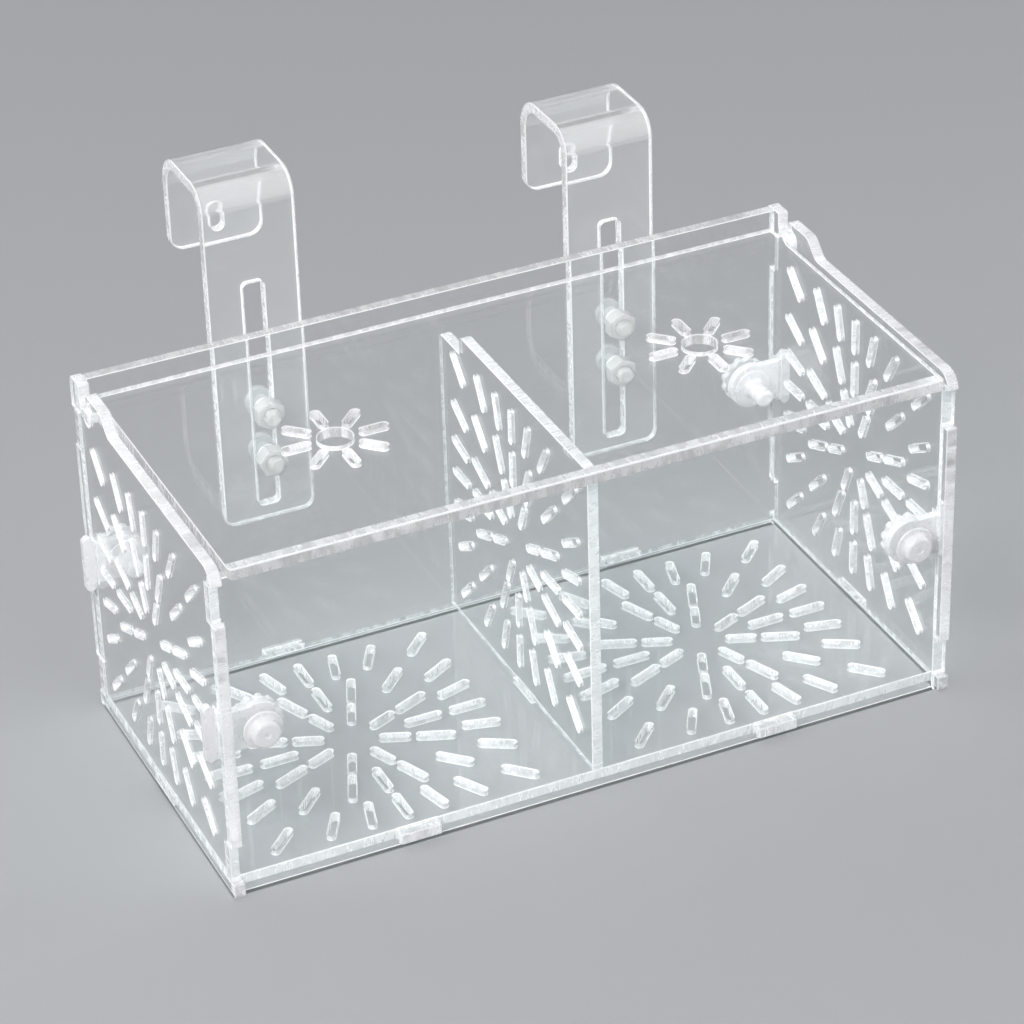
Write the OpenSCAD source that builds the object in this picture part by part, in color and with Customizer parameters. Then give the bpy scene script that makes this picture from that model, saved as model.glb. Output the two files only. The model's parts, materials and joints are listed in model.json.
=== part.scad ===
// Hang-on breeding box made of laser-cut clear sheet, with two compartments under one lid.
// X runs along the box, Y from front to back and Z up. The ground is Z = 0.

/* [Box] */
// Outside width across the two side panels
box_w = 200; // [184:1:260]
// Depth of the side panels, front edge to back edge
box_d = 96; // [92:1:140]
// Height of the side panels at the front, level with the closed lid
box_h = 95; // [92:1:130]
// Thickness of the clear sheet
sheet_t = 3; // [2.6:0.1:3.6]
// Height of the back edge above the closed lid
back_rise = 4.5; // [4.5:0.5:8]
// Distance of the front and back panels inside the side panels' edges
panel_inset = 1.5; // [1:0.1:2.5]
// Height of the bottom panel's underside above the ground
floor_z = 2; // [1.5:0.1:4]
// Height of the upright slot patterns' centres above the ground
mid_z = 48; // [47:0.5:50]
// Rounding of the side panels' top front corners
front_corner_r = 5; // [2:0.5:8]
// Rounding of the side panels' other corners
side_corner_r = 1.5; // [0.8:0.1:2]

/* [Finger joints] */
// Length of the tabs of the front, back and bottom panels
tab_l = 10.8; // [8:0.1:12]
// Distance of the upright tabs' centres from the ground and from the lid's top
tab_edge = 10; // [9.5:0.5:14]
// Length of the bottom panel's tab in each side panel
side_tab_l = 12.8; // [8:0.1:16]
// Clearance of a tab in its slot, on each side
tab_gap = 0.1; // [0.05:0.05:0.2]

/* [Slot pattern] */
// Width of the water slots
slot_w = 2; // [1.6:0.1:2.2]
// Distance of the outer slots from the side panels' edges
slot_margin = 10.1; // [8:0.1:12]
// Length of the outer slots
outer_l = 9.8; // [6:0.2:10]
// Slots in the outer ring
outer_count = 24; // [12, 24]
// Distance from the outer ring's square to the middle ring's
middle_step = 12.5; // [12:0.1:13.5]
// Length of the middle slots
middle_l = 10; // [6:0.5:10]
// Slots in the middle ring
middle_count = 16; // [8, 16]
// Distance from the middle ring's square to the inner ring's
inner_step = 9.7; // [9:0.1:10]
// Length of the inner slots
inner_l = 8; // [6:0.5:8]
// Slots in the inner ring
inner_count = 8; // [8]
// Centre of the bottom panel's patterns, in front of the box's middle
floor_pattern_y = 2; // [0:0.5:2.5]

/* [Divider] */
// Clearance between the divider and the closed lid
divider_gap = 0.4; // [0.3:0.1:1]
// Length of the top notch that clears the lid's tail
divider_notch_l = 13; // [12.6:0.1:16]
// Depth of that notch below the lid
divider_notch_h = 5.6; // [5.4:0.1:8]
// Rounding of the notch and of the top front corner
divider_corner_r = 2; // [1:0.5:3]

/* [Lid] */
// Gap between the lid's ends and the side panels
lid_side_gap = 1.5; // [0.8:0.1:2.5]
// Reach of the lid in front of the side panels
lid_overhang = 1; // [0:0.1:2]
// Gap between the lid and the front panel's top edge
lid_rest_gap = 0.1; // [0.1:0.1:0.5]
// Distance of the hinge line from the side panels' back edge
hinge_inset = 11.5; // [11.5:0.1:12.5]
// Length of the lid behind the hinge line
lid_tail = 6.3; // [5:0.1:6.3]
// Depth of the hinge tabs, front to back
hinge_tab_d = 5; // [4:0.1:5]
// Reach of the hinge tabs outside the side panels
hinge_tab_out = 0.5; // [0:0.1:1.5]
// Diameter of the hinge seats
seat_d = 6.4; // [6.4:0.1:7]
// Width of the hinge slots' mouths
mouth_w = 5.2; // [5.1:0.1:5.6]
// Distance of the mouths' centres behind the hinge line
mouth_shift = 2.3; // [2:0.1:2.5]
// Length of the raised horn in front of the hinge mouth, at its top
horn_l = 9.2; // [6:0.1:12]
// Length of the slope that leads up to the horn
horn_slope_l = 7; // [4:0.5:10]
// Rounding of the lid's corners
lid_corner_r = 1.5; // [0.5:0.1:2.5]
// Diameter of the two feeding holes
feed_hole_d = 9; // [7:0.5:10]
// Slots round each feeding hole
sun_count = 8; // [6, 8, 10]
// Inner radius of these slots
sun_in_r = 6.5; // [6.5:0.1:7]
// Outer radius of these slots
sun_out_r = 14; // [12:0.5:16]
// Width of these slots
sun_slot_w = 2.3; // [1.8:0.1:2.5]
// Centre of the feeding holes in front of the box's middle
feed_y = 4; // [0:0.5:8]

/* [Hooks] */
// Width of the two hooks
hook_w = 25; // [20:0.5:30]
// Thickness of the hooks' sheet
hook_t = 3; // [2.5:0.1:4]
// Depth of a hook, outside to outside
hook_d = 28; // [24:0.5:40]
// Outside radius of the bend next to the box
near_bend_r = 7; // [5:0.5:9]
// Outside radius of the far bend
far_bend_r = 9; // [5:0.5:11]
// Height of a hook, strap end to top
hook_h = 99; // [90:1:110]
// Drop of a hook's lip below its top
lip_h = 28.5; // [24:0.5:40]
// Height of the left hook's strap end above the ground
left_hook_z = 42.5; // [32:0.5:50]
// Height of the right hook's strap end above the ground
right_hook_z = 35.5; // [32:0.5:50]
// Width of the straps' slots
strap_slot_w = 5.5; // [5.2:0.1:6.5]
// Length of the straps' slots
strap_slot_l = 66; // [60:1:72]
// Distance of a slot from the strap's end
strap_slot_z = 4.5; // [4:0.5:8]
// Corner radius of the straps' slots
strap_slot_r = 1.3; // [0.8:0.1:2]
// Rounding of the straps' lower corners
strap_corner_r = 3; // [1:0.5:6]
// Rounding of the lips' lower corners
lip_corner_r = 4; // [1:0.5:6]
// Width of the clamp screw's slot in each lip
lip_slot_w = 3.4; // [2.5:0.1:5]
// Length of this slot, round ends included
lip_slot_l = 6.8; // [5.2:0.1:9]
// Height of the slot's middle above the lip's edge
lip_slot_z = 7.5; // [6:0.5:10]
// Gap between a strap and the back panel, and between a strap and the bolt heads
strap_gap = 0.2; // [0.1:0.05:0.4]

/* [Hook bolts] */
// Diameter of the hook bolts
bolt_d = 5; // [4:0.1:5]
// Clearance round a bolt in the back panel
bolt_gap = 0.15; // [0.05:0.05:0.3]
// Height of the lower bolts above the ground
bolt_low_z = 62; // [60:0.5:64]
// Height of the upper bolts above the lower bolts
bolt_pitch = 14; // [12:0.5:15]
// Diameter of the bolt heads
head_d = 9.5; // [8.5:0.1:11]
// Height of the bolt heads
head_h = 3.3; // [2.5:0.1:4]
// Edge rounding of the bolt heads
head_round = 1.6; // [0.8:0.1:2.2]
// Width of the screwdriver slots
driver_w = 1.2; // [0.8:0.1:1.6]
// Depth of the screwdriver slots
driver_h = 1.6; // [1:0.1:2]
// Width of the nuts across their flats
nut_flats = 8; // [7.6:0.1:9]
// Height of the nuts
nut_h = 4.5; // [3.5:0.1:5]
// Reach of a bolt beyond its nut
bolt_tail = 1.2; // [0.5:0.1:3]
// Clearance of a bolt or pin in its nut
thread_gap = 0.02; // [0.01:0.01:0.05]

/* [Corner clips] */
// Height of the clips above the ground
clip_z = 47; // [44:0.5:50]
// Length of a clip's crossbar
bar_l = 16; // [15.4:0.1:20]
// Thickness of the crossbar
bar_t = 2.8; // [2:0.1:4]
// Chamfer at the crossbar's ends
bar_chamfer = 1; // [0.4:0.1:1.4]
// Thickness of a clip's arm, eye and crossbar
arm_t = 2.5; // [2:0.1:3]
// Height of the arm
arm_h = 11.5; // [8:0.1:11.5]
// Distance of the clip's eye from the side panel's outer face
eye_in = 10.8; // [10.8:0.1:14]
// Diameter of the eye
eye_d = 12.6; // [11.5:0.1:13]
// Clearance of a clip in the side panels' slots
clip_gap = 0.1; // [0.05:0.05:0.2]
// Diameter of the pins through the eyes and the wall panels
pin_d = 4; // [3:0.1:5]
// Clearance of a pin in an eye and a wall panel
pin_gap = 0.1; // [0.05:0.05:0.3]
// Diameter of the pin's flange
flange_d = 10.4; // [9:0.1:12]
// Thickness of the flange
flange_t = 0.8; // [0.6:0.1:1.4]
// Diameter of the front pins' knobs
front_knob_d = 7.4; // [6:0.1:8]
// Reach of these knobs from the front panel
front_knob_l = 3.5; // [3:0.1:4]
// Diameter of the back pins' stems
back_stem_d = 4.8; // [4:0.1:6]
// Reach of these stems from the eyes
back_stem_l = 8; // [6:0.5:10]
// Edge rounding of the knobs and stems
knob_round = 0.9; // [0.4:0.1:1.2]
// Diameter of the knurled clip nuts
clip_nut_d = 12.8; // [11:0.1:13]
// Thickness of the clip nuts
clip_nut_t = 2; // [1.5:0.1:2.5]
// Grip notches round a clip nut
grip_count = 12; // [8:1:16]
// Radius of a grip notch
grip_r = 1.2; // [0.8:0.1:1.3]

/* [Hidden] */
$fn = 48;
over = 1;                                   // how far a cutter passes a face
curve_steps = 10;                           // steps of the horn's slope

side_in_x = box_w / 2 - sheet_t;            // inner faces of the side panels
wall_out_y = box_d / 2 - panel_inset;       // outer faces of the front and back panels
wall_in_y = wall_out_y - sheet_t;           // inner faces of these panels
wall_mid_y = wall_out_y - sheet_t / 2;
back_h = box_h + back_rise;
lid_z = box_h - sheet_t;                    // underside of the closed lid
floor_top_z = floor_z + sheet_t;
bay_x = box_w / 4;                          // middle of each compartment

// Half sides of the squares that the rings of slots lie on
outer_half = min(box_d, box_h) / 2 - slot_margin - outer_l / 2;
middle_half = outer_half - middle_step;
inner_half = middle_half - inner_step;
tab_zs = [tab_edge, box_h - tab_edge];      // centres of the upright tabs

hinge_y = box_d / 2 - hinge_inset;
hinge_z = lid_z + sheet_t / 2;
mouth_y = hinge_y + mouth_shift;
mouth_lift = 0.2;                           // straight part below the mouth's bend
mouth_rise = mouth_w / 2 + mouth_lift;      // height of the bend's middle above the hinge
horn_y = mouth_y - mouth_w / 2 - horn_l;    // front end of the horn's top
mouth_corner_r = 0.8;

strap_y = wall_out_y + strap_gap;           // front faces of the straps
head_y = strap_y + hook_t + strap_gap;      // bearing faces of the bolt heads
bolt_zs = [bolt_low_z, bolt_low_z + bolt_pitch];
nut_chamfer = 0.5;

clip_y = wall_in_y - arm_t / 2;             // mid planes of the clips, flat on the panels' inner faces
eye_x = box_w / 2 - eye_in;
pin_l = sheet_t + arm_t + clip_nut_t;       // grip of the clip pins
divider_tab_y = -floor_pattern_y;

// The part stands midway between its foremost and rearmost points
front_y = -max(wall_out_y + front_knob_l, box_d / 2 + lid_overhang);
back_y = max(strap_y + hook_d, head_y + head_h);
centre_y = (front_y + back_y) / 2;

clear_sheet = [0.84, 0.93, 0.95, 0.45];
nylon = [0.93, 0.93, 0.9];
clip_plastic = [0.88, 0.89, 0.88];

function square_reach(a, half) = half / max(abs(cos(a)), abs(sin(a)));
function slope_points(y0, z0, y1, z1) = [for (i = [0 : curve_steps])
    let (s = i / curve_steps) [y0 + (y1 - y0) * s, z0 + (z1 - z0) * (1 - cos(180 * s)) / 2]];

// ---- Placing

module placed() { translate([0, -centre_y, 0]) children(); }

// A sheet that stands along Y, from x to x + t; the outline is drawn as (Y, Z)
module sheet_along_y(x, t) { translate([x, 0, 0]) rotate([90, 0, 90]) linear_extrude(t) children(); }

// A sheet that stands along X, from y to y + t; the outline is drawn as (X, Z)
module sheet_along_x(y, t) { translate([0, y + t, 0]) rotate([90, 0, 0]) linear_extrude(t) children(); }

module both_sides() {
    children();
    mirror([1, 0, 0]) children();
}

// A turned piece whose axis runs forward from the point y
module turned_forward(x, y, z) { translate([x, y, z]) rotate([90, 0, 0]) children(); }

// ---- Outlines

module stadium(l, w) {
    square([l - w, w], center = true);
    for (s = [-1, 1]) translate([s * (l - w) / 2, 0]) circle(d = w);
}

// What a rounded corner at (x, y) loses; sx and sy point out of the corner
module corner_cut(x, y, sx, sy, r) {
    translate([x, y]) mirror([sx < 0 ? 1 : 0, 0]) mirror([0, sy < 0 ? 1 : 0]) translate([-r, -r])
        difference() {
            square(r + over);
            circle(r);
        }
}

module slot_ring(count, first, half, l) {
    for (i = [0 : count - 1])
        let (a = first + i * 360 / count)
            rotate(a) translate([square_reach(a, half), 0]) stadium(l, slot_w);
}

module slot_pattern() {
    slot_ring(inner_count, 180 / inner_count, inner_half, inner_l);
    slot_ring(middle_count, 0, middle_half, middle_l);
    slot_ring(outer_count, 0, outer_half, outer_l);
}

module sun() {
    circle(d = feed_hole_d);
    for (i = [0 : sun_count - 1])
        rotate(i * 360 / sun_count) translate([(sun_in_r + sun_out_r) / 2, 0])
            stadium(sun_out_r - sun_in_r, sun_slot_w);
}

// J-shaped slot that the lid's hinge tab drops into
module hinge_slot() {
    for (s = [0, 0.5, 1])
        translate([hinge_y + mouth_shift * sin(90 * s), hinge_z + mouth_rise * (1 - cos(90 * s))])
            circle(d = seat_d + (mouth_w - seat_d) * s);
    translate([mouth_y - mouth_w / 2, hinge_z + mouth_rise]) square([mouth_w, back_rise + sheet_t]);
    corner_cut(mouth_y - mouth_w / 2, back_h, 1, 1, mouth_corner_r);
    corner_cut(mouth_y + mouth_w / 2, back_h, -1, 1, mouth_corner_r);
}

module side_outline() {
    polygon(concat(
        [[-box_d / 2, 0], [box_d / 2, 0], [box_d / 2, back_h]],
        slope_points(horn_y, back_h, horn_y - horn_slope_l, box_h),
        [[-box_d / 2, box_h]]));
}

// Open notches in a side panel's edges for the tabs of the front and back panels
module edge_notches() {
    for (s = [-1, 1], z = tab_zs)
        translate([s * (wall_in_y + box_d / 2 + over) / 2, z])
            square([box_d / 2 + over - wall_in_y, tab_l + 2 * tab_gap], center = true);
}

module clip_slots() {
    for (s = [-1, 1])
        translate([s * clip_y, clip_z])
            square([arm_t, eye_d] + 2 * [clip_gap, clip_gap], center = true);
}

module side_panel_2d() {
    difference() {
        side_outline();
        corner_cut(-box_d / 2, box_h, -1, 1, front_corner_r);
        corner_cut(box_d / 2, back_h, 1, 1, side_corner_r);
        for (s = [-1, 1]) corner_cut(s * box_d / 2, 0, s, -1, side_corner_r);
        hinge_slot();
        edge_notches();
        clip_slots();
        translate([0, floor_z + sheet_t / 2])
            square([side_tab_l + 2 * tab_gap, sheet_t + 2 * tab_gap], center = true);
        translate([0, mid_z]) slot_pattern();
    }
}

module wall_2d(h) {
    difference() {
        union() {
            translate([-side_in_x, 0]) square([2 * side_in_x, h]);
            for (z = tab_zs) translate([-box_w / 2, z - tab_l / 2]) square([box_w, tab_l]);
        }
        both_sides() {
            translate([eye_x, clip_z]) circle(d = pin_d + 2 * pin_gap);
            translate([bay_x, floor_z + sheet_t / 2])
                square([tab_l + 2 * tab_gap, sheet_t + 2 * tab_gap], center = true);
        }
    }
}

// ---- Panels

module left_side_panel() { placed() color(clear_sheet) sheet_along_y(-box_w / 2, sheet_t) side_panel_2d(); }

module right_side_panel() { placed() color(clear_sheet) sheet_along_y(side_in_x, sheet_t) side_panel_2d(); }

module front_panel() {
    placed() color(clear_sheet) sheet_along_x(-wall_out_y, sheet_t) wall_2d(lid_z - lid_rest_gap);
}

module back_panel() {
    placed() color(clear_sheet) sheet_along_x(wall_in_y, sheet_t)
        difference() {
            wall_2d(back_h);
            both_sides() for (z = bolt_zs) translate([bay_x, z]) circle(d = bolt_d + 2 * bolt_gap);
        }
}

module bottom_panel() {
    placed() color(clear_sheet) translate([0, 0, floor_z]) linear_extrude(sheet_t)
        difference() {
            union() {
                square([2 * side_in_x, 2 * wall_in_y], center = true);
                square([box_w, side_tab_l], center = true);
                for (s = [-1, 1]) translate([s * bay_x, 0]) square([tab_l, box_d], center = true);
            }
            both_sides() translate([bay_x, -floor_pattern_y]) slot_pattern();
            translate([0, divider_tab_y]) square([sheet_t, tab_l] + 2 * [tab_gap, tab_gap], center = true);
        }
}

module divider() {
    top_z = lid_z - divider_gap;
    notch_y = wall_in_y - divider_notch_l;
    notch_z = lid_z - divider_notch_h;
    placed() color(clear_sheet) sheet_along_y(-sheet_t / 2, sheet_t)
        difference() {
            union() {
                translate([-wall_in_y, floor_top_z]) square([2 * wall_in_y, top_z - floor_top_z]);
                translate([divider_tab_y - tab_l / 2, floor_z]) square([tab_l, 2 * sheet_t]);
            }
            translate([notch_y, notch_z]) square([divider_notch_l + over, divider_notch_h]);
            corner_cut(notch_y, top_z, 1, 1, divider_corner_r);
            corner_cut(wall_in_y, notch_z, 1, 1, divider_corner_r);
            corner_cut(-wall_in_y, top_z, -1, 1, divider_corner_r);
            translate([0, mid_z]) slot_pattern();
        }
}

module lid() {
    lid_x = side_in_x - lid_side_gap;
    lid_front_y = -box_d / 2 - lid_overhang;
    lid_back_y = hinge_y + lid_tail;
    placed() color(clear_sheet) translate([0, 0, lid_z]) linear_extrude(sheet_t)
        difference() {
            union() {
                translate([-lid_x, lid_front_y]) square([2 * lid_x, lid_back_y - lid_front_y]);
                translate([0, hinge_y])
                    square([box_w + 2 * hinge_tab_out, hinge_tab_d], center = true);
            }
            for (s = [-1, 1]) {
                corner_cut(s * lid_x, lid_front_y, s, -1, lid_corner_r);
                corner_cut(s * lid_x, lid_back_y, s, 1, lid_corner_r / 2);
                translate([s * bay_x, -feed_y]) sun();
            }
        }
}

// ---- Hooks

// Quarter ring of a bend, drawn from its centre towards (sy, +1)
module bend(r, sy) {
    intersection() {
        difference() {
            circle(r);
            circle(r - hook_t);
        }
        mirror([sy < 0 ? 1 : 0, 0]) square(r + over);
    }
}

// Side view of a hook: strap, bridge over the tank's rim, and lip
module hook_profile() {
    square([hook_t, hook_h - near_bend_r]);
    translate([near_bend_r, hook_h - near_bend_r]) bend(near_bend_r, -1);
    translate([near_bend_r, hook_h - hook_t]) square([hook_d - near_bend_r - far_bend_r, hook_t]);
    translate([hook_d - far_bend_r, hook_h - far_bend_r]) bend(far_bend_r, 1);
    translate([hook_d - hook_t, hook_h - lip_h]) square([hook_t, lip_h - far_bend_r]);
}

module strap_slot_2d() {
    translate([0, strap_slot_z + strap_slot_l / 2])
        difference() {
            square([strap_slot_w, strap_slot_l], center = true);
            for (sx = [-1, 1], sy = [-1, 1])
                corner_cut(sx * strap_slot_w / 2, sy * strap_slot_l / 2, sx, sy, strap_slot_r);
        }
}

module lip_slot_2d() {
    round_z = (lip_slot_l - lip_slot_w) / 2;
    square([lip_slot_w, 2 * round_z], center = true);
    for (s = [-1, 1]) translate([0, s * round_z]) circle(d = lip_slot_w);
}

module hook(x, z) {
    placed() color(clear_sheet) translate([x, strap_y, z])
        difference() {
            sheet_along_y(-hook_w / 2, hook_w) hook_profile();
            sheet_along_x(-over, hook_t + 2 * over) {
                strap_slot_2d();
                for (s = [-1, 1]) corner_cut(s * hook_w / 2, 0, s, -1, strap_corner_r);
            }
            sheet_along_x(hook_d - hook_t - over, hook_t + 2 * over)
                translate([0, hook_h - lip_h]) {
                    translate([0, lip_slot_z]) lip_slot_2d();
                    for (s = [-1, 1]) corner_cut(s * hook_w / 2, 0, s, -1, lip_corner_r);
                }
        }
}

module hook_bolt(x, z) {
    shank_l = head_y - wall_in_y + nut_h + bolt_tail;
    placed() color(nylon) turned_forward(x, head_y, z)
        difference() {
            union() {
                rotate_extrude() bolt_head_2d();
                cylinder(d = bolt_d, h = shank_l);
            }
            translate([-head_d, -driver_w / 2, -head_h - over]) cube([2 * head_d, driver_w, driver_h + over]);
        }
}

// Half section of a pan head, below the shank's start
module bolt_head_2d() {
    difference() {
        translate([0, -head_h]) square([head_d / 2, head_h]);
        corner_cut(head_d / 2, -head_h, 1, -1, head_round);
    }
}

module hook_nut(x, z) {
    corner_r = nut_flats / 2 / cos(30);
    placed() color(nylon) turned_forward(x, wall_in_y, z)
        difference() {
            intersection() {
                cylinder(r = corner_r, h = nut_h, $fn = 6);
                rotate_extrude() chamfered_half_2d(corner_r, nut_h, nut_chamfer);
            }
            translate([0, 0, -over]) cylinder(d = bolt_d + 2 * thread_gap, h = nut_h + 2 * over);
        }
}

// Half section of a disc whose far edge is bevelled
module chamfered_half_2d(r, h, c) { polygon([[0, 0], [r, 0], [r, h - c], [r - c, h], [0, h]]); }

// ---- Corner clips; the side is -1 or 1 in X, the wall -1 at the front and 1 at the back

// Outline of a clip, drawn with its eye at the origin and its crossbar towards +X
module clip_2d() {
    difference() {
        union() {
            circle(d = eye_d);
            translate([0, -arm_h / 2]) square([eye_in + bar_t / 2, arm_h]);
            translate([eye_in, 0]) crossbar_2d();
        }
        circle(d = pin_d + 2 * pin_gap);
    }
}

module crossbar_2d() {
    translate([bar_t / 2, 0])
        difference() {
            square([bar_t, bar_l], center = true);
            for (sx = [-1, 1], sz = [-1, 1])
                translate([sx * bar_t / 2, sz * bar_l / 2]) rotate(45)
                    square(bar_chamfer * sqrt(2), center = true);
        }
}

module clip(side, wall) {
    placed() color(clip_plastic) mirror([side < 0 ? 1 : 0, 0, 0])
        translate([eye_x, wall * clip_y, clip_z]) sheet_along_x(-arm_t / 2, arm_t) clip_2d();
}

// Half section of a pin: shank below the flange, and above it a foot that narrows to the knob
module pin_2d(d, l) {
    foot_l = flange_t + (flange_d - d) / 4;
    translate([0, -pin_l]) square([pin_d / 2, pin_l + flange_t / 2]);
    polygon([[0, 0], [flange_d / 2, 0], [flange_d / 2, flange_t], [d / 2, foot_l],
        [d / 2, l - knob_round], [d / 2 - knob_round, l], [0, l]]);
}

// The front pins are seated on the front panel, and the back pins on the clips' eyes
module clip_pin(side, wall) {
    seat_y = wall < 0 ? -wall_out_y : wall_in_y - arm_t;
    placed() color(clip_plastic) turned_forward(side * eye_x, seat_y, clip_z)
        rotate_extrude() {
            if (wall < 0) pin_2d(front_knob_d, front_knob_l);
            else pin_2d(back_stem_d, back_stem_l);
        }
}

module clip_nut(side, wall) {
    far_y = wall < 0 ? clip_nut_t + arm_t - wall_in_y : wall_out_y + clip_nut_t;
    placed() color(clip_plastic) turned_forward(side * eye_x, far_y, clip_z)
        linear_extrude(clip_nut_t)
            difference() {
                circle(d = clip_nut_d);
                for (i = [0 : grip_count - 1])
                    rotate(i * 360 / grip_count) translate([clip_nut_d / 2 + grip_r / 2, 0]) circle(grip_r);
                circle(d = pin_d + 2 * thread_gap);
            }
}

module left_hook() { hook(-bay_x, left_hook_z); }
module right_hook() { hook(bay_x, right_hook_z); }
module left_lower_hook_bolt() { hook_bolt(-bay_x, bolt_zs[0]); }
module left_upper_hook_bolt() { hook_bolt(-bay_x, bolt_zs[1]); }
module right_lower_hook_bolt() { hook_bolt(bay_x, bolt_zs[0]); }
module right_upper_hook_bolt() { hook_bolt(bay_x, bolt_zs[1]); }
module left_lower_hook_nut() { hook_nut(-bay_x, bolt_zs[0]); }
module left_upper_hook_nut() { hook_nut(-bay_x, bolt_zs[1]); }
module right_lower_hook_nut() { hook_nut(bay_x, bolt_zs[0]); }
module right_upper_hook_nut() { hook_nut(bay_x, bolt_zs[1]); }
module front_left_clip() { clip(-1, -1); }
module front_right_clip() { clip(1, -1); }
module back_left_clip() { clip(-1, 1); }
module back_right_clip() { clip(1, 1); }
module front_left_clip_pin() { clip_pin(-1, -1); }
module front_right_clip_pin() { clip_pin(1, -1); }
module back_left_clip_pin() { clip_pin(-1, 1); }
module back_right_clip_pin() { clip_pin(1, 1); }
module front_left_clip_nut() { clip_nut(-1, -1); }
module front_right_clip_nut() { clip_nut(1, -1); }
module back_left_clip_nut() { clip_nut(-1, 1); }
module back_right_clip_nut() { clip_nut(1, 1); }

left_side_panel();
right_side_panel();
front_panel();
back_panel();
bottom_panel();
divider();
lid();
left_hook();
right_hook();
left_lower_hook_bolt();
left_upper_hook_bolt();
right_lower_hook_bolt();
right_upper_hook_bolt();
left_lower_hook_nut();
left_upper_hook_nut();
right_lower_hook_nut();
right_upper_hook_nut();
front_left_clip();
front_right_clip();
back_left_clip();
back_right_clip();
front_left_clip_pin();
front_right_clip_pin();
back_left_clip_pin();
back_right_clip_pin();
front_left_clip_nut();
front_right_clip_nut();
back_left_clip_nut();
back_right_clip_nut();
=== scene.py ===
import bmesh
import bpy
import json
import math
from mathutils import Matrix, Vector


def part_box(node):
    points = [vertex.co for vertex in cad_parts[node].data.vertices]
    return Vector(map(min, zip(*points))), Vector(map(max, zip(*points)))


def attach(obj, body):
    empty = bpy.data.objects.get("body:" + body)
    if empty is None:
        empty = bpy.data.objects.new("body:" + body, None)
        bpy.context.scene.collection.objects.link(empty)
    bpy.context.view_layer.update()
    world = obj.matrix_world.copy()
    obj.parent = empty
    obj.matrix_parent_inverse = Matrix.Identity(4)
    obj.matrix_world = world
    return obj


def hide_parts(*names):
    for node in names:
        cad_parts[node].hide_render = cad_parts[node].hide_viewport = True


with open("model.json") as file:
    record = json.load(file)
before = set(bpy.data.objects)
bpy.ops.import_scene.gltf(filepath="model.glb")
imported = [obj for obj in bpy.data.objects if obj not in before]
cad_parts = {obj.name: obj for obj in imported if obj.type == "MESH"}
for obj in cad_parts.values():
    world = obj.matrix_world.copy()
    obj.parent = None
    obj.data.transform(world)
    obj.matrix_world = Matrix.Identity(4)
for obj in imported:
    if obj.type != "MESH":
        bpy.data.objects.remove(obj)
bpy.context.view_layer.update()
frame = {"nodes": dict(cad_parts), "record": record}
nodes = frame["nodes"]
bodies = frame["record"]["behaviour"]["bodies"]
bodyOf = {node: body for body, group in bodies.items() for node in group}
mm = 0.001
print("frame loaded:", len(nodes), "nodes")

# ---- camera, floor and light

cameraSetup = {
    "azimuth": -24.029,      # degrees, to the left of the front
    "elevation": 31.782,
    "roll": -1.786,
    "distance": 1003.986 * mm,
    "target": Vector((0.663, -7.287, 53.798)) * mm,
    "lens": 137.95,
    "sensor": 36,
}


def addCamera(setup):
    az, el, roll = (math.radians(setup[k]) for k in ("azimuth", "elevation", "roll"))
    back = Vector((math.sin(az) * math.cos(el), -math.cos(az) * math.cos(el), math.sin(el)))
    right = Vector((0, 0, 1)).cross(back).normalized()
    up = back.cross(right)
    tiltedRight = math.cos(roll) * right + math.sin(roll) * up
    tiltedUp = back.cross(tiltedRight)
    data = bpy.data.cameras.new("camera")
    data.lens, data.sensor_width, data.clip_end = setup["lens"], setup["sensor"], 20
    camera = bpy.data.objects.new("camera", data)
    bpy.context.scene.collection.objects.link(camera)
    turn = camera.matrix_world.to_3x3()
    turn.col[0], turn.col[1], turn.col[2] = tiltedRight, tiltedUp, back
    camera.matrix_world = turn.to_4x4()
    camera.location = setup["target"] + back * setup["distance"]
    bpy.context.scene.camera = camera


lampAim = Vector((0, 0, 0.05))
lamps = {
    "keyLamp": {"place": (-0.8, -0.7, 0.95), "size": (0.6, 0.6), "power": 11},
    "backLamp": {"place": (-0.9, 1.0, 0.8), "size": (1.3, 0.9), "power": 4},
    "sideLamp": {"place": (1.1, -0.3, 0.6), "size": (0.4, 0.9), "power": 4},
}


def areaLamp(name, setup):
    data = bpy.data.lights.new(name, "AREA")
    data.shape = "RECTANGLE"
    data.size, data.size_y = setup["size"]
    data.energy = setup["power"]
    lamp = bpy.data.objects.new(name, data)
    bpy.context.scene.collection.objects.link(lamp)
    lamp.location = setup["place"]
    lamp.rotation_euler = (lampAim - Vector(setup["place"])).to_track_quat("-Z", "Y").to_euler()


def newMaterial(name):
    material = bpy.data.materials.new(name)
    material.use_nodes = True
    tree = material.node_tree
    tree.nodes.clear()
    return material, tree


def addNode(tree, kind, inputs=None, **settings):
    node = tree.nodes.new(kind)
    for key, value in settings.items():
        setattr(node, key, value)
    for key, value in (inputs or {}).items():
        if isinstance(value, bpy.types.NodeSocket):
            tree.links.new(value, node.inputs[key])
        else:
            node.inputs[key].default_value = value
    return node


floorLook = {"size": 6.0, "colour": (0.44, 0.448, 0.456, 1), "roughness": 0.7}


def addFloor(look):
    material, tree = newMaterial("floorPaint")
    shader = addNode(tree, "ShaderNodeBsdfPrincipled",
                     {"Base Color": look["colour"], "Roughness": look["roughness"]})
    out = addNode(tree, "ShaderNodeOutputMaterial", {"Surface": shader.outputs[0]})
    bpy.ops.mesh.primitive_circle_add(vertices=64, radius=look["size"], fill_type="NGON")
    floor = bpy.context.object
    floor.name = "floor"
    floor.data.materials.append(material)


worldLook = {"strength": 0.46, "colour": (0.95, 0.97, 1.0, 1)}


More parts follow.
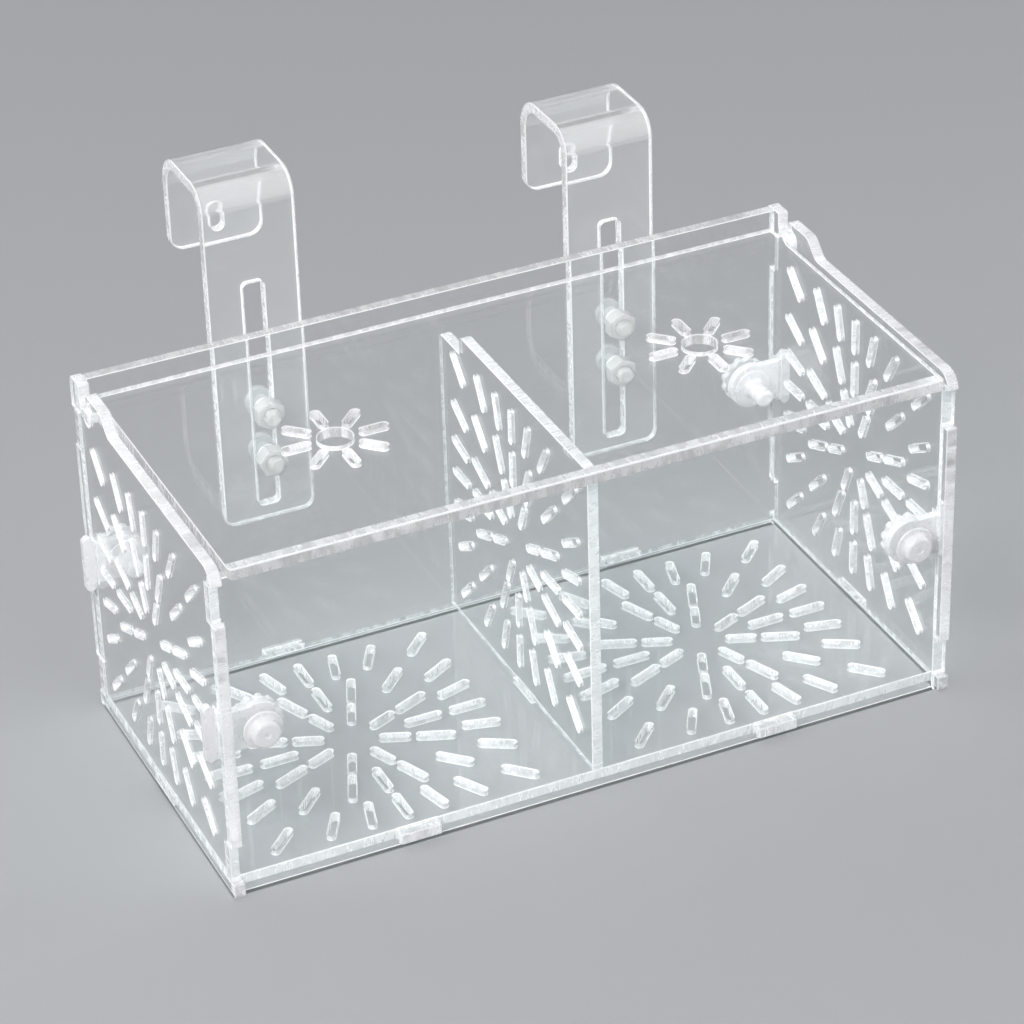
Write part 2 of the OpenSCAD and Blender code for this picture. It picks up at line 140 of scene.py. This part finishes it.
def addWorld(look):
    world = bpy.data.worlds.new("studio")
    world.use_nodes = True
    bpy.context.scene.world = world
    shader = world.node_tree.nodes["Background"]
    shader.inputs["Color"].default_value = look["colour"]
    shader.inputs["Strength"].default_value = look["strength"]


addCamera(cameraSetup)
addFloor(floorLook)
addWorld(worldLook)
for name, setup in lamps.items():
    areaLamp(name, setup)
bpy.context.scene.view_settings.view_transform = "Standard"
print("camera, floor and lamps ready")

# ---- materials

acrylic = {
    "ior": 1.49,
    "bevel": 0.22 * mm,
    "tint": (0.992, 0.996, 0.996, 1),
    "lampTint": (0.93, 0.945, 0.95, 1),       # what lamps keep of their colour on the way through
    "smearScale": 45.0,
    "smearHaze": 0.07,
}
cutEdge = {
    "tint": (0.975, 0.98, 0.985, 1),
    "lampTint": (0.8, 0.82, 0.83, 1),
    "grain": 0.3,                # stretches the burn marks across the sheet
    "streakScale": 800.0,
    "streakDepth": 0.1 * mm,
    "cloudScale": 330.0,
    "frostSpread": 0.1,
}
# near-opaque white for the cut corners: painted highlight lines along every edge
cornerPaintedHighlight = {"tint": (0.98, 0.985, 0.985, 1), "clearness": 0.12, "wobbleScale": 700.0}
moulded = {
    "ior": 1.5,
    "lampTint": (0.4, 0.4, 0.4, 1),
    "waviness": 0.08,
    "waveDepth": 0.2 * mm,
    "glow": 0.35,                # share of light that spreads inside the plastic
    "glowDepth": 2.0 * mm,
}


def letLampsThrough(tree, shader, tint):
    path = addNode(tree, "ShaderNodeLightPath")
    clear = addNode(tree, "ShaderNodeBsdfTransparent", {"Color": tint})
    mixed = addNode(tree, "ShaderNodeMixShader",
                    {0: path.outputs["Is Shadow Ray"], 1: shader.outputs[0], 2: clear.outputs[0]})
    addNode(tree, "ShaderNodeOutputMaterial", {"Surface": mixed.outputs[0]})


def noiseAt(tree, scale, detail=4.0, roughness=0.6, stretch=(1, 1, 1)):
    where = addNode(tree, "ShaderNodeTexCoord")
    placed = addNode(tree, "ShaderNodeMapping",
                     {"Vector": where.outputs["Object"], "Scale": stretch})
    return addNode(tree, "ShaderNodeTexNoise",
                   {"Vector": placed.outputs[0], "Scale": scale, "Detail": detail,
                    "Roughness": roughness})


def mapped(tree, value, low, high, fromLow=0.35, fromHigh=0.65):
    return addNode(tree, "ShaderNodeMapRange",
                   {"Value": value, "From Min": fromLow, "From Max": fromHigh,
                    "To Min": low, "To Max": high})


def polishedAcrylic(name, clearness, haze):
    material, tree = newMaterial(name)
    smears = noiseAt(tree, acrylic["smearScale"], detail=6.0)
    rough = mapped(tree, smears.outputs["Fac"], haze, haze + acrylic["smearHaze"], 0.5, 0.8)
    shader = addNode(tree, "ShaderNodeBsdfPrincipled",
                     {"Base Color": acrylic["tint"], "IOR": acrylic["ior"],
                      "Transmission Weight": clearness, "Roughness": rough.outputs[0]})
    letLampsThrough(tree, shader, acrylic["lampTint"])
    return material


def cutAcrylic(name, grainAxis=None, clearness=0.34, ripple=0.1):
    material, tree = newMaterial(name)
    grain = [cutEdge["grain"] if i == grainAxis else 1.0 for i in range(3)]
    streaks = noiseAt(tree, cutEdge["streakScale"], detail=3.0, roughness=0.5, stretch=grain)
    clouds = noiseAt(tree, cutEdge["cloudScale"], detail=5.0, roughness=0.7, stretch=grain)
    rough = mapped(tree, clouds.outputs["Fac"], 0.34, 0.16, 0.4, 0.62)
    # the cut edges are kept mostly opaque white: partly the frost of the laser cut, partly painted
    # highlight for light piped through the sheet, varied at random by the clouds
    frostAndPaintedHighlight = mapped(tree, clouds.outputs["Fac"], clearness - cutEdge["frostSpread"],
                   clearness + cutEdge["frostSpread"], 0.4, 0.64)
    bump = addNode(tree, "ShaderNodeBump", {"Height": streaks.outputs["Fac"], "Strength": ripple,
                                            "Distance": cutEdge["streakDepth"]})
    shader = addNode(tree, "ShaderNodeBsdfPrincipled",
                     {"Base Color": cutEdge["tint"], "IOR": acrylic["ior"],
                      "Transmission Weight": frostAndPaintedHighlight.outputs[0], "Roughness": rough.outputs[0],
                      "Normal": bump.outputs[0]})
    letLampsThrough(tree, shader, cutEdge["lampTint"])
    return material


def cornerAcrylic():
    # the slightly melted corners of the laser cuts, made near-opaque white: painted highlight that
    # shows as fine bright lines
    material, tree = newMaterial("cornerAcrylic")
    wobble = noiseAt(tree, cornerPaintedHighlight["wobbleScale"], detail=3.0)
    rough = mapped(tree, wobble.outputs["Fac"], 0.08, 0.3)
    shader = addNode(tree, "ShaderNodeBsdfPrincipled",
                     {"Base Color": cornerPaintedHighlight["tint"], "IOR": acrylic["ior"],
                      "Transmission Weight": cornerPaintedHighlight["clearness"],
                      "Roughness": rough.outputs[0]})
    letLampsThrough(tree, shader, cutEdge["lampTint"])
    return material


def milkyPlastic(name, colour, transmission, roughness, grain):
    material, tree = newMaterial(name)
    flow = noiseAt(tree, grain)
    rough = mapped(tree, flow.outputs["Fac"], roughness - 0.08, roughness + 0.1)
    bump = addNode(tree, "ShaderNodeBump", {"Height": flow.outputs["Fac"],
                                            "Strength": moulded["waviness"],
                                            "Distance": moulded["waveDepth"]})
    shader = addNode(tree, "ShaderNodeBsdfPrincipled",
                     {"Base Color": colour, "IOR": moulded["ior"],
                      "Transmission Weight": transmission,
                      "Roughness": rough.outputs[0], "Normal": bump.outputs[0],
                      "Subsurface Weight": moulded["glow"], "Subsurface Radius": (1.0, 1.0, 1.0),
                      "Subsurface Scale": moulded["glowDepth"]})
    letLampsThrough(tree, shader, moulded["lampTint"])
    return material


faceLook = polishedAcrylic("polishedAcrylic", 1.0, 0.0)
hookFaceLook = polishedAcrylic("polishedHookAcrylic", 0.92, 0.02)
# the hook bends are made less clear: painted highlight that shows them light where a dark band would
# fall
bendLook = polishedAcrylic("bendPaintedHighlightAcrylic", 0.74, 0.08)
cutLooks = {axis: cutAcrylic("cutAcrylic" + "XYZ"[axis], axis) for axis in range(3)}
hookCutLook = cutAcrylic("cutAcrylicHook", clearness=0.36, ripple=0.06)
cornerLook = cornerAcrylic()
nylonLook = milkyPlastic("clearNylon", (0.92, 0.925, 0.92, 1), 0.45, 0.14, 350.0)
clipLook = milkyPlastic("milkyClipPlastic", (0.94, 0.94, 0.95, 1), 0.12, 0.26, 200.0)
print("materials ready")

# ---- pieces made from the frame's own shapes, with their edges broken


edges = {"weld": 1e-6, "flatBelow": math.radians(0.5), "sharpAbove": math.radians(35)}


def cleanCopy(node):
    # the frame's triangles, joined again into whole flat faces
    work = bmesh.new()
    work.from_mesh(nodes[node].data)
    bmesh.ops.remove_doubles(work, verts=work.verts, dist=edges["weld"])
    bmesh.ops.dissolve_limit(work, angle_limit=edges["flatBelow"], verts=work.verts,
                             edges=work.edges)
    return work


def bevelSharpEdges(work, width, segments=1):
    sharp = [e for e in work.edges
             if len(e.link_faces) == 2 and e.calc_face_angle(0) > edges["sharpAbove"]]
    bmesh.ops.bevel(work, geom=sharp, offset=width, segments=segments, profile=0.5, affect="EDGES",
                    clamp_overlap=False)


def shadeByAngle(mesh, degrees):
    for polygon in mesh.polygons:
        polygon.use_smooth = True
    mesh.set_sharp_from_angle(angle=math.radians(degrees))


def addPiece(name, work, looks, node, smoothBelow=50):
    mesh = bpy.data.meshes.new(name)
    work.to_mesh(mesh)
    work.free()
    if "custom_normal" in mesh.attributes:
        mesh.attributes.remove(mesh.attributes["custom_normal"])
    mesh.materials.clear()
    for look in looks:
        mesh.materials.append(look)
    shadeByAngle(mesh, smoothBelow)
    piece = bpy.data.objects.new(name, mesh)
    bpy.context.scene.collection.objects.link(piece)
    flatFaces = piece.modifiers.new("flatFaces", "WEIGHTED_NORMAL")
    flatFaces.keep_sharp = True
    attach(piece, bodyOf[node])
    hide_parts(node)
    return piece


def sheetPiece(node, thickAxis):
    work = cleanCopy(node)
    bevelSharpEdges(work, acrylic["bevel"])
    piece = addPiece(node + "_sheet", work, [faceLook, cutLooks[thickAxis], cornerLook], node,
                     smoothBelow=30)
    for polygon in piece.data.polygons:
        lean = abs(polygon.normal[thickAxis])       # 1 on a face, 0 on a cut edge
        polygon.material_index = 0 if lean > 0.95 else 2 if lean > 0.3 else 1
    return piece


sheetAxes = {"left_side_panel": 0, "right_side_panel": 0, "divider": 0,
             "front_panel": 1, "back_panel": 1, "bottom_panel": 2, "lid": 2}
for node, thickAxis in sheetAxes.items():
    sheetPiece(node, thickAxis)
print("sheets bevelled:", len(sheetAxes))

hookLook = {"bevel": 0.3 * mm, "bendDepth": 9.5 * mm}


def hookPiece(node):
    work = cleanCopy(node)
    bevelSharpEdges(work, hookLook["bevel"])
    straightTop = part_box(node)[1].z - hookLook["bendDepth"]
    looks = [hookFaceLook, hookCutLook, cornerLook, bendLook]
    piece = addPiece(node + "_strip", work, looks, node, smoothBelow=30)
    for polygon in piece.data.polygons:
        sideways, through, upright = (abs(part) for part in polygon.normal)
        bent = polygon.center.z > straightTop
        if sideways < 0.1 and (bent or through > 0.9):
            polygon.material_index = 3 if bent and min(through, upright) > 0.05 else 0
        else:
            corner = 0.3 < sideways < 0.95 if bent else through > 0.3
            polygon.material_index = 2 if corner else 1
    return piece


for node in ("left_hook", "right_hook"):
    hookPiece(node)
print("hooks ready")

clipShape = {"edge": 0.3 * mm, "rimWidth": 0.9 * mm, "rimHeight": 0.2 * mm, "knobEdge": 0.2 * mm}


def clipPiece(node):
    work = cleanCopy(node)
    for facing in (-1, 1):       # a shallow recess leaves the moulded rim standing
        flat = [f for f in work.faces if f.normal.y * facing > 0.99]
        bmesh.ops.inset_region(work, faces=flat, thickness=clipShape["rimWidth"],
                               use_boundary=True)
        bmesh.ops.translate(work, verts=list({v for f in flat for v in f.verts}),
                            vec=(0, -facing * clipShape["rimHeight"], 0))
    bevelSharpEdges(work, clipShape["edge"], 2)
    return addPiece(node + "_moulding", work, [clipLook], node)


def lathe(profile, centre, forward, sides=48):
    # profile holds (radius, distance along the axis) from one end to the other
    work = bmesh.new()
    loops = [[work.verts.new((centre.x + radius * math.cos(2 * math.pi * k / sides),
                              centre.y + forward * along,
                              centre.z + radius * math.sin(2 * math.pi * k / sides)))
              for k in range(sides)]
             for radius, along in profile]
    for a, b in zip(loops, loops[1:]):
        for k in range(sides):
            work.faces.new((a[k], a[(k + 1) % sides], b[(k + 1) % sides], b[k]))
    work.faces.new(loops[0])
    work.faces.new(list(reversed(loops[-1])))
    bmesh.ops.recalc_face_normals(work, faces=work.faces)
    return work


def arc(centreRadius, centreAlong, radius, fromDegrees, toDegrees, steps=6):
    angles = [math.radians(fromDegrees + (toDegrees - fromDegrees) * i / steps)
              for i in range(steps + 1)]
    return [(centreRadius + radius * math.cos(a), centreAlong + radius * math.sin(a))
            for a in angles]


pin = {
    "radius": 2.0 * mm,
    "grip": 7.5 * mm,
    "flangeRadius": 5.2 * mm,
    "flangeHeight": 0.8 * mm,
    "frontKnobRadius": 3.7 * mm,
    "backStemRadius": 2.4 * mm,
    "frontFootShare": 0.9,       # how much of the flange the rounded foot takes
    "backFootShare": 0.5,
    "endRounding": 0.9 * mm,
    "gateRadius": 0.7 * mm,
    "gateDepth": 0.25 * mm,
}


def pinPiece(node, topRadius, footShare):
    low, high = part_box(node)
    seat = Vector(((low.x + high.x) / 2, high.y - pin["grip"], (low.z + high.z) / 2))
    length = seat.y - low.y
    edge = pin["flangeHeight"] / 2
    rounding = pin["endRounding"]
    foot = (pin["flangeRadius"] - edge - topRadius) * footShare
    profile = [(pin["radius"] - 0.3 * mm, -pin["grip"]), (pin["radius"], 0.3 * mm - pin["grip"]),
               (pin["radius"], 0)]
    profile += arc(pin["flangeRadius"] - edge, edge, edge, -90, 90)
    profile += arc(topRadius + foot, pin["flangeHeight"] + foot, foot, -90, -180)
    profile += arc(topRadius - rounding, length - rounding, rounding, 0, 90)
    profile += [(pin["gateRadius"] + 0.15 * mm, length),
                (pin["gateRadius"], length - pin["gateDepth"])]
    return addPiece(node + "_turned", lathe(profile, seat, -1), [clipLook], node)


# the real nuts and heads are a little smaller than the standard ones of the frame
hookNut = {
    "flats": 7.2 * mm,
    "height": 3.6 * mm,
    "turns": {"left_upper_hook_nut": 30, "left_lower_hook_nut": 8,
              "right_upper_hook_nut": 30, "right_lower_hook_nut": 26},
}


def hookNutPiece(node):
    low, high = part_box(node)
    seat = Vector(((low.x + high.x) / 2, high.y, (low.z + high.z) / 2))
    across = hookNut["flats"] / (high.z - low.z)
    size = (across, hookNut["height"] / (high.y - low.y), across)
    turned = Matrix.Rotation(math.radians(hookNut["turns"][node]), 4, "Y")
    resized = turned @ Matrix.Diagonal((*size, 1))
    work = cleanCopy(node)
    work.transform(Matrix.Translation(seat) @ resized @ Matrix.Translation(-seat))
    bevelSharpEdges(work, clipShape["knobEdge"], 2)
    return addPiece(node + "_moulding", work, [nylonLook], node)


for node in nodes:
    if node.endswith("clip"):
        clipPiece(node)
    elif node.endswith("clip_pin"):
        front = node.startswith("front")
        pinPiece(node, pin["frontKnobRadius" if front else "backStemRadius"],
                 pin["frontFootShare" if front else "backFootShare"])
    elif node.endswith("hook_nut"):
        hookNutPiece(node)
    elif node.endswith("clip_nut"):
        work = cleanCopy(node)
        bevelSharpEdges(work, clipShape["knobEdge"], 2)
        addPiece(node + "_moulding", work, [clipLook], node)
print("clips, pins and nuts ready")

# ---- threaded hook bolts

bolt = {
    "radius": 2.25 * mm,
    "pitch": 0.8 * mm,
    "threadDepth": 0.42 * mm,
    "tipTaper": 0.7 * mm,
    "tipSlope": 0.8,
    "sides": 36,
    "ringsPerTurn": 8,
    "headRadius": 3.8 * mm,
    "headHeight": 3.0 * mm,
    "seatDepth": 3.3 * mm,       # from the back of the frame's head to its seat
    "headRings": 8,
    "headTop": 0.62,             # flat middle of the head, as a share of its radius
    "headDome": 0.5,             # rounded part, as a share of its height
    "driverWidth": 1.2 * mm,
    "driverDepth": 1.6 * mm,
}


def threadRadius(turn, depthIn):
    # a rounded vee that climbs once a turn, and fades towards the tip
    phase = (depthIn / bolt["pitch"] - turn) % 1.0
    vee = abs(2 * phase - 1)
    return bolt["radius"] - bolt["threadDepth"] * (0.5 - 0.5 * math.cos(math.pi * vee))


def boltMesh(node):
    low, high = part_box(node)
    middle = (low + high) / 2
    headFace, tip = high.y - bolt["seatDepth"], low.y
    headBack = headFace + bolt["headHeight"]
    length = headFace - tip
    rings = []
    for i in range(bolt["headRings"] + 1):      # domed back of the pan head
        a = math.pi / 2 * i / bolt["headRings"]
        rings.append((bolt["headRadius"] * (bolt["headTop"] + (1 - bolt["headTop"]) * math.sin(a)),
                      headBack - bolt["headDome"] * bolt["headHeight"] * (1 - math.cos(a))))
    rings.append((bolt["headRadius"], headFace))
    count = int(length / bolt["pitch"] * bolt["ringsPerTurn"])
    work = bmesh.new()
    sides = bolt["sides"]

    def ring(radiusAt, y):
        turns = [(radiusAt(k / sides), 2 * math.pi * k / sides) for k in range(sides)]
        return [work.verts.new((middle.x + radius * math.cos(a), y, middle.z + radius * math.sin(a)))
                for radius, a in turns]

    loops = [ring(lambda turn, r=r: r, y) for r, y in rings]
    for i in range(count + 1):
        y = headFace - length * i / count
        inset = bolt["tipSlope"] * max(0.0, bolt["tipTaper"] - (y - tip))
        loops.append(ring(lambda turn, y=y, inset=inset: threadRadius(turn, headFace - y) - inset, y))
    for a, b in zip(loops, loops[1:]):
        for k in range(sides):
            work.faces.new((a[k], a[(k + 1) % sides], b[(k + 1) % sides], b[k]))
    work.faces.new(loops[0])
    work.faces.new(list(reversed(loops[-1])))
    bmesh.ops.recalc_face_normals(work, faces=work.faces)
    return work


def boltPiece(node):
    piece = addPiece(node + "_threaded", boltMesh(node), [nylonLook], node, 35)
    piece.modifiers.clear()
    low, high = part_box(node)
    headBack = high.y - bolt["seatDepth"] + bolt["headHeight"]
    place = ((low.x + high.x) / 2, headBack, (low.z + high.z) / 2)
    bpy.ops.mesh.primitive_cube_add(size=1, location=place)
    slotCutter = bpy.context.object
    slotCutter.scale = (4 * bolt["headRadius"], 2 * bolt["driverDepth"], bolt["driverWidth"])
    cut = piece.modifiers.new("driverSlot", "BOOLEAN")
    cut.object, cut.operation, cut.solver = slotCutter, "DIFFERENCE", "EXACT"
    bpy.context.view_layer.update()
    graph = bpy.context.evaluated_depsgraph_get()
    shaped = bpy.data.meshes.new_from_object(piece.evaluated_get(graph))
    piece.modifiers.clear()
    piece.data = shaped
    bpy.data.objects.remove(slotCutter)
    shadeByAngle(piece.data, 35)


for node in nodes:
    if node.endswith("hook_bolt"):
        boltPiece(node)
print("bolts threaded")
